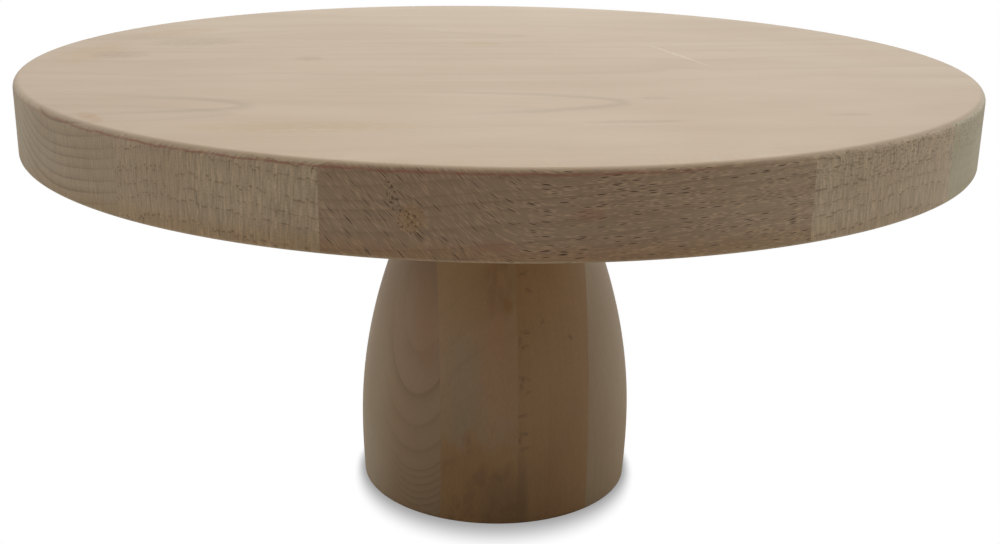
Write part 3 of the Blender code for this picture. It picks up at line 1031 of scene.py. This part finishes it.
def add_foot():
    """The boards, sawn from one turned foot."""
    lines = glue_lines(BOARDS, ACROSS_BOARD)
    for node, low, high, (wood, tone, stains) in zip(BOARDS, lines, lines[1:], foot_woods()):
        material = beech(f"beech_{node}", BOARD_AXES, wood, (toned(tone), *stains))
        cut = (ACROSS_BOARD, low, high)
        add_board(node, foot_profile(), FOOT_SEGMENTS, cut, material, "foot", "foot_wood")


def add_fixing():
    """The bolt in the foot, the insert in the plate, and the washer between the two."""
    bolt = revolve(bolt_profile(), THREAD_SEGMENTS)
    steel = lathe_turned("zinc_steel", ZINC, DULL_ZINC, 1, 0.26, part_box("hanger_bolt")[1].x / MM)
    add_piece("steel_bolt", bolt, steel, "foot", "bolt_steel", "hanger_bolt")
    insert = revolve(insert_profile(), THREAD_SEGMENTS, closed=True)
    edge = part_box("threaded_insert")[1].x / MM
    brass = lathe_turned("brass", BRASS, DULL_BRASS, 1, 0.22, edge)
    add_piece("brass_insert", insert, brass, "plate", "insert_brass", "threaded_insert")
    washer = revolve(washer_profile(), WASHER_SEGMENTS, closed=True)
    nylon = lathe_turned("nylon", NYLON, WORN_NYLON, 0, 0.4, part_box("washer")[1].x / MM)
    add_piece("nylon_washer", washer, nylon, "washer", "washer_nylon", "washer")


add_plate()
add_foot()
add_fixing()


# ---------------------------------------------------------------------------------------
# Floor, light and camera
# ---------------------------------------------------------------------------------------

# Where each soft light comes from, and how strong it is
SOFT_LIGHTS = (
    ((0, 1, 0), 0.40),
    ((-1, 0, 0), 0.50),
    ((1, 0, 0), 0.20),
    ((0, 0, 1), 0.41),
    ((0, 1, 1), 1.20),
    ((1, 1, 0), 0.53),
)
LIGHT_TINT = (1.0, 0.98, 0.91)

BASE_RADIUS = 45.7  # of the foot, in millimetres
FLOOR_RADIUS = 4  # metres

CAMERA_PLACE = (0, -0.4386, 0.2134)
CAMERA_LENS = 48.53
CAMERA_PITCH = 0.3125  # below level; the angles are in radians
CAMERA_ROLL = 0.0158
CAMERA_YAW = 0.0025


def camera_ray(tree):
    return Num(tree, tree.nodes.new("ShaderNodeLightPath").outputs["Is Camera Ray"])


def floor_material():
    """White to the camera, with a painted soft shadow round the foot, and pale grey to the light.

    It is clear from below and under the foot, so that the undersides can be seen.
    """
    material, tree, shader = new_material("floor")
    spot = tree.nodes.new("ShaderNodeTexCoord").outputs["Object"]
    x, y = (along(tree, spot, axis) for axis in ((1 / MM, 0, 0), (0, 1 / MM, 0)))
    away = (x * x + y * y).math("SQRT")
    front = (y / away * -1).math("MAXIMUM", 0)
    reach = front * front * 14 + 4  # the painted shadow reaches forward, as light from behind would cast it
    shadow = ((away - BASE_RADIUS) / reach).ramp(-0.15, 1, 0.35, 1)
    seen = tree.nodes.new("ShaderNodeEmission")
    plug(tree, seen.inputs["Strength"], shadow)
    shader.inputs["Base Color"].default_value = (0.65, 0.65, 0.65, 1)
    shader.inputs["Roughness"].default_value = 0.9
    choose = tree.nodes.new("ShaderNodeMixShader")
    plug(tree, choose.inputs[0], camera_ray(tree))
    tree.links.new(shader.outputs[0], choose.inputs[1])
    tree.links.new(seen.outputs[0], choose.inputs[2])
    from_below = Num(tree, tree.nodes.new("ShaderNodeNewGeometry").outputs["Backfacing"])
    under_foot = away.math("LESS_THAN", BASE_RADIUS - 1)
    see_through = tree.nodes.new("ShaderNodeMixShader")
    plug(tree, see_through.inputs[0], from_below.math("MAXIMUM", under_foot))
    tree.links.new(choose.outputs[0], see_through.inputs[1])
    tree.links.new(tree.nodes.new("ShaderNodeBsdfTransparent").outputs[0], see_through.inputs[2])
    tree.links.new(see_through.outputs[0], tree.nodes["Material Output"].inputs[0])
    return material


def add_floor():
    bm = bmesh.new()
    bmesh.ops.create_circle(bm, cap_ends=True, segments=64, radius=FLOOR_RADIUS)
    mesh = bpy.data.meshes.new("floor")
    bm.to_mesh(mesh)
    bm.free()
    mesh.materials.append(floor_material())
    floor = bpy.data.objects.new("floor", mesh)
    bpy.context.scene.collection.objects.link(floor)


def add_light():
    """Soft light from behind, above and both sides, and none from the camera's side."""
    world = bpy.data.worlds.new("studio")
    bpy.context.scene.world = world
    world.use_nodes = True
    tree = world.node_tree
    background = tree.nodes["Background"]
    place = tree.nodes.new("ShaderNodeTexCoord").outputs["Generated"]
    glow = 0
    for direction, strength in SOFT_LIGHTS:
        facing = along(tree, place, Vector(direction).normalized()).math("MAXIMUM", 0)
        glow = facing * facing * strength + glow
    seen = camera_ray(tree)
    plug(tree, background.inputs["Color"], mix(tree, seen, LIGHT_TINT, (1, 1, 1)))
    plug(tree, background.inputs["Strength"], glow * (1 - seen) + seen)


def add_camera():
    """The camera, nearly square to the front, looking down at the top."""
    camera = bpy.data.objects.new("camera", bpy.data.cameras.new("camera"))
    bpy.context.scene.collection.objects.link(camera)
    camera.data.lens = CAMERA_LENS
    camera.data.clip_start = 0.01
    ahead = Vector((math.sin(CAMERA_YAW), math.cos(CAMERA_YAW), 0))
    forward = ahead * math.cos(CAMERA_PITCH) - UP * math.sin(CAMERA_PITCH)
    level = Vector((math.cos(CAMERA_YAW), -math.sin(CAMERA_YAW), 0))
    above = level.cross(forward)
    right = level * math.cos(CAMERA_ROLL) + above * math.sin(CAMERA_ROLL)
    up = above * math.cos(CAMERA_ROLL) - level * math.sin(CAMERA_ROLL)
    turn = Matrix((right, up, -forward)).transposed().to_4x4()
    camera.matrix_world = Matrix.Translation(CAMERA_PLACE) @ turn
    bpy.context.scene.camera = camera


add_floor()
add_light()
add_camera()
bpy.context.scene.view_settings.view_transform = "Standard"
